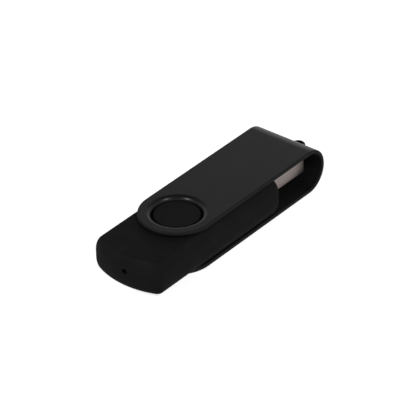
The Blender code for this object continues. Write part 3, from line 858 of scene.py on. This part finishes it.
def make_contact(node, material):
    """A sprung strip: its tail steps down to the board and its nose is rounded over."""
    low, high = hub_box(node)
    front = TONGUE_LOW.x - CONTACT_STEP_GAP
    back = front - CONTACT_THICKNESS
    upper = high.z - CONTACT_THICKNESS
    tail_top = low.z + CONTACT_THICKNESS
    nose = arc(high.x - CONTACT_THICKNESS, upper, CONTACT_THICKNESS, 0, 90, NOSE_STEPS)
    profile = [(low.x, low.z), (front, low.z), (front, upper), (high.x, upper)]
    profile += nose[1:] + [(back, high.z), (back, tail_top), (low.x, tail_top)]
    strip = side_prism(node, profile, low.y, high.y)
    soften(strip, CONTACT_EDGE, 3)
    name = node.replace("contact_", "") + "_contact"
    return finish_piece(strip, name, material, "stick", "contact_gold", node)


def solder_dome(x, y, half_length, half_width, height):
    """A low dome on the board's upper face."""
    turns = [2 * math.pi * i / DOME_TURN_STEPS for i in range(DOME_TURN_STEPS)]
    rings = []
    for a in quarter(DOME_STEPS)[:-1]:
        along, across = half_length * math.cos(a), half_width * math.cos(a)
        z = BOARD_HIGH.z + height * math.sin(a)
        rings.append([(x + along * math.cos(t), y + across * math.sin(t), z) for t in turns])
    return loft("joint", rings)


def make_solder_joints(material):
    """A small fillet at the tail of each contact and at each tab of the plug."""
    for node in contact_nodes():
        low, high = hub_box(node)
        joint = solder_dome(low.x + TAIL_FILLET_INSET, (low.y + high.y) / 2, *TAIL_FILLET)
        finish_piece(joint, node + "_solder", material, "stick", "plug_steel")
    for side, name in ((-1, "right_tab_solder"), (1, "left_tab_solder")):
        y = side * (PLUG_HIGH.y - PLUG_WALL / 2)
        joint = solder_dome(PLUG_LOW.x + TAB_LENGTH / 2, y, *TAB_FILLET)
        finish_piece(joint, name, material, "stick", "plug_steel")


# ---------------------------------------------------------------- board


def repaint(node, material):
    """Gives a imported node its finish. Its mesh stays as it is."""
    mesh = frame["nodes"][node].data
    mesh.materials.clear()
    mesh.materials.append(material)


def finish_board():
    repaint("circuit_board", board_laminate())
    repaint("memory_chip", moulded_chip("memory_resin", MEMORY_SHARE, WHOLE_BOX))
    repaint("controller_chip", moulded_chip("controller_resin", CONTROLLER_SHARE, CONTROLLER_SHARE))
    repaint("clock_crystal", crystal_can())
    repaint("status_led", clear_resin())
    capacitor = capped_ceramic("capacitor_ceramic", (0.42, 0.30, 0.18, 1.0), roughness=0.42)
    resistor = capped_ceramic("resistor_ceramic", (0.03, 0.03, 0.032, 1.0), roughness=0.36)
    for number in range(1, 5):
        repaint(f"capacitor_{number}", capacitor)
        repaint(f"resistor_{number}", resistor)


# ---------------------------------------------------------------- stage


CAMERA_AZIMUTH = math.radians(-50.50)
CAMERA_ELEVATION = math.radians(33.41)
CAMERA_ROLL = math.radians(-1.205)
CAMERA_DISTANCE = 0.6595
CAMERA_LENS = 238.5
HUB_RIGHT = -7.295 * MM  # where the hub stands from the middle of the view
HUB_UP = -5.757 * MM

# How bright each part of the studio is, and between which heights or directions it fades
HORIZON = 0.56
CEILING = 0.04
GROUND = 0.32
GROUND_FADE = (-0.25, 0.0)
BACKDROP = 0.62
BACKDROP_FADE = (0.35, 0.75)
BACKDROP_TOP_FADE = (-0.05, 0.20)
BEHIND = (0.77, 0.64)  # the way to the backdrop, as x and y

# The floor, in metres, and how much it glows
FLOOR_SIZE = 30.0
FLOOR_THICKNESS = 0.1
FLOOR_GLOW = 0.80

# Each softbox's name, place, aim and watts
SOFTBOX_SIZE = 0.06
SOFTBOXES = (
    ("bend_softbox", (0.19, 0.11, 0.08), (0.02, 0.0, 0.01), 0.0018),
    ("left_softbox", (-0.44, 0.07, 0.40), (0.0, 0.0, 0.0), 0.66),
    ("right_softbox", (-0.02, -0.40, 0.44), (0.0, 0.0, 0.0), 0.52),
)


def add_camera():
    turn, rise, roll = CAMERA_AZIMUTH, CAMERA_ELEVATION, CAMERA_ROLL
    back = Vector((math.sin(turn) * math.cos(rise), -math.cos(turn) * math.cos(rise), math.sin(rise)))
    level = Vector((0, 0, 1)).cross(back).normalized()
    plumb = back.cross(level)
    right = level * math.cos(roll) + plumb * math.sin(roll)
    up = plumb * math.cos(roll) - level * math.sin(roll)
    data = bpy.data.cameras.new("camera")
    data.lens = CAMERA_LENS
    data.clip_start = 0.01
    data.clip_end = 100.0
    camera = bpy.data.objects.new("camera", data)
    place = HUB + back * CAMERA_DISTANCE - right * HUB_RIGHT - up * HUB_UP
    camera.matrix_world = Matrix.Translation(place) @ Matrix((right, up, back)).transposed().to_4x4()
    bpy.context.scene.collection.objects.link(camera)
    bpy.context.scene.camera = camera


def add_softbox(name, place, aim, watts):
    data = bpy.data.lights.new(name, "AREA")
    data.shape = "DISK"
    data.size = SOFTBOX_SIZE
    data.energy = watts
    light = bpy.data.objects.new(name, data)
    light.location = place
    light.rotation_euler = (Vector(place) - Vector(aim)).to_track_quat("Z", "Y").to_euler()
    bpy.context.scene.collection.objects.link(light)


def add_floor():
    """White paper that glows a little, so that only a soft shadow shows on it."""
    reach = (-FLOOR_SIZE, FLOOR_SIZE)
    floor = block("floor", reach, reach, (-FLOOR_THICKNESS, 0.0))
    paper = Finish("white_paper", Roughness=1.0, Specular_IOR_Level=0.0, Emission_Strength=FLOOR_GLOW)
    paper.feed("Base Color", (0.9, 0.9, 0.9, 1.0))
    paper.feed("Emission Color", (1.0, 1.0, 1.0, 1.0))
    floor.data.materials.append(paper.material)
    floor.visible_glossy = False
    floor.visible_diffuse = False


def add_world():
    """The studio: a dark ceiling, a bright horizon and a brighter backdrop, all white when seen directly."""
    world = bpy.data.worlds.new("studio")
    world.use_nodes = True
    studio = Nodes(world.node_tree)
    sky = world.node_tree.nodes["Background"]
    x, y, z = studio.share()
    above = studio.ramp(z, 0.0, 1.0)
    under = 1 - studio.ramp(z, *GROUND_FADE)
    facing = studio.ramp(BEHIND[0] * x + BEHIND[1] * y, *BACKDROP_FADE)
    behind = facing * (1 - studio.ramp(z, *BACKDROP_TOP_FADE))
    brightness = HORIZON - (HORIZON - CEILING) * above - (HORIZON - GROUND) * under
    brightness = brightness + (BACKDROP - brightness) * behind
    seen = studio.node("ShaderNodeLightPath", {}, {}, "Is Camera Ray")
    studio.set(sky.inputs["Strength"], brightness + (1 - brightness) * seen)
    studio.set(sky.inputs["Color"], grey(1.0))
    bpy.context.scene.world = world


def set_stage():
    add_camera()
    add_world()
    add_floor()
    for name, place, aim, watts in SOFTBOXES:
        add_softbox(name, place, aim, watts)
    bpy.context.scene.view_settings.view_transform = "Standard"


def main():
    enamel = black_enamel()
    moulding = black_moulding()
    steel = plated_steel()
    gold = gold_plate()
    make_cover(enamel)
    make_loop(enamel)
    make_top_shell(moulding)
    make_bottom_shell(moulding)
    make_plug_tube(steel)
    make_plug_tongue(white_nylon())
    for node in contact_nodes():
        make_contact(node, gold)
    make_solder_joints(solder())
    finish_board()
    set_stage()


main()
